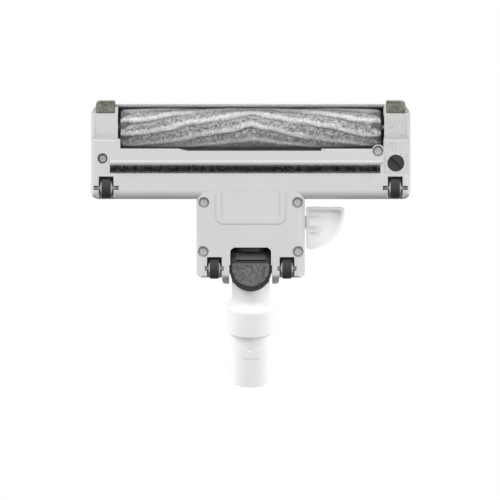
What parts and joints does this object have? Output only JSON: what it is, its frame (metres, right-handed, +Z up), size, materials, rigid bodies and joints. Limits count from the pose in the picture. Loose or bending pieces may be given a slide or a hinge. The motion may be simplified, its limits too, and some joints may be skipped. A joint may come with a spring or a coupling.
{
  "type": "powered vacuum floor head",
  "caption": "Powered vacuum floor head with a driven pile roller, wheels, foot pedal and a tilting neck whose spigot turns and takes the wand.",
  "frame": {"origin": "on the floor, under the middle of the whole object's box", "axes": "+X along the head's width, -Y towards the head's front, +Y towards the wand, +Z up from the floor"},
  "size_m": [0.28, 0.2526, 0.0744],
  "materials": {
    "housing": "fine satin moulded plastic",
    "cap_plastic": "spark-textured moulded plastic",
    "white_plastic": "smooth semi-gloss",
    "lip_plastic": "satin, slightly translucent",
    "hub_plastic": "satin",
    "olive_felt": "short dense pile",
    "grey_felt": "short dense pile",
    "dark_plastic": "fine satin",
    "bar_plastic": "satin",
    "bristle": "dense nylon bristle",
    "pile": "soft tufted pile",
    "steel": "zinc-plated",
    "tyre": "soft elastomer",
    "black_rubber": "matte",
    "brass": "sintered",
    "board": "solder mask",
    "pedal_plastic": "milky translucent"
  },
  "bodies": {
    "head": {"bottom_housing": "housing", "top_cover": "housing", "end_cap": "cap_plastic", "front_bumper": "lip_plastic", "corner_felt_left": "olive_felt", "corner_felt_right": "olive_felt", "bristle_rail": "dark_plastic", "bristle_strip": "bristle", "head_screws": "steel", "suction_channel": "dark_plastic", "motor_can": "steel", "motor_end_bell": "dark_plastic", "motor_cradle": "dark_plastic", "drive_belt": "black_rubber", "brush_bearing_left": "brass", "brush_bearing_right": "brass", "circuit_board": "board", "front_axles": "steel", "rear_axles": "steel", "body_base": "housing", "body_top": "housing", "body_screws": "steel", "air_duct": "dark_plastic", "pedal_pin": "steel", "pedal_spring": "steel", "tilt_bushes": "brass"},
    "roller": {"brush_core": "dark_plastic", "brush_shaft": "steel", "brush_pile": "pile", "brush_pulley": "dark_plastic"},
    "motor_rotor": {"armature": "steel", "motor_pulley": "steel"},
    "coin_lock": {"coin_lock": "dark_plastic"},
    "pedal": {"pedal": "pedal_plastic"},
    "release_catch": {"release_catch": "dark_plastic"},
    "neck": {"knuckle": "dark_plastic", "knuckle_felt": "grey_felt", "slot_bar": "bar_plastic", "tilt_pins": "steel", "neck_collar": "white_plastic", "swivel_ring": "white_plastic", "swivel_seal": "black_rubber"},
    "spigot": {"wand_spigot": "white_plastic", "contact_block": "white_plastic", "contact_pins": "brass"},
    "front_wheel_left": {"front_tyre_left": "tyre", "front_hub_left": "hub_plastic"},
    "front_wheel_right": {"front_tyre_right": "tyre", "front_hub_right": "hub_plastic"},
    "rear_wheel_left": {"rear_tyre_left": "tyre", "rear_hub_left": "hub_plastic"},
    "rear_wheel_right": {"rear_tyre_right": "tyre", "rear_hub_right": "hub_plastic"}
  },
  "joints": [
    {"name": "roller_spin", "type": "hinge", "parent": "head", "child": "roller", "pos_m": [0, -0.1029, 0.0183], "axis": [1, 0, 0], "continuous": true},
    {"name": "motor_spin", "type": "hinge", "parent": "head", "child": "motor_rotor", "pos_m": [-0.08, -0.062, 0.029], "axis": [1, 0, 0], "continuous": true},
    {"name": "neck_tilt", "type": "hinge", "parent": "head", "child": "neck", "pos_m": [0, 0.022, 0.024], "axis": [1, 0, 0], "range_deg": [0, 66]},
    {"name": "spigot_turn", "type": "hinge", "parent": "neck", "child": "spigot", "pos_m": [0, 0.07873, 0.04353], "axis": [0, 0.9455, 0.3256], "range_deg": [-90, 90]},
    {"name": "pedal_press", "type": "hinge", "parent": "head", "child": "pedal", "pos_m": [0.043, -0.02, 0.025], "axis": [0, 1, 0], "range_deg": [0, 10], "stiffness_Nm_per_rad": 0.3, "springref_deg": -5.73},
    {"name": "catch_lift", "type": "slide", "parent": "head", "child": "release_catch", "axis": [0, 0, 1], "range_m": [0, 0.0022]},
    {"name": "coin_lock_turn", "type": "hinge", "parent": "head", "child": "coin_lock", "pos_m": [0.1271, -0.0714, 0.008], "axis": [0, 0, 1], "range_deg": [0, 90]},
    {"name": "front_wheel_left_spin", "type": "hinge", "parent": "head", "child": "front_wheel_left", "pos_m": [-0.1266, -0.0497, 0.009], "axis": [1, 0, 0], "continuous": true},
    {"name": "front_wheel_right_spin", "type": "hinge", "parent": "head", "child": "front_wheel_right", "pos_m": [0.1266, -0.0497, 0.009], "axis": [1, 0, 0], "continuous": true},
    {"name": "rear_wheel_left_spin", "type": "hinge", "parent": "head", "child": "rear_wheel_left", "pos_m": [-0.0318, 0.0209, 0.009], "axis": [1, 0, 0], "continuous": true},
    {"name": "rear_wheel_right_spin", "type": "hinge", "parent": "head", "child": "rear_wheel_right", "pos_m": [0.0318, 0.0209, 0.009], "axis": [1, 0, 0], "continuous": true}
  ],
  "couplings": [
    {"joint": "motor_spin", "follows": "roller_spin", "ratio": 2},
    {"joint": "catch_lift", "follows": "pedal_press", "m_per_rad": 0.0126}
  ]
}
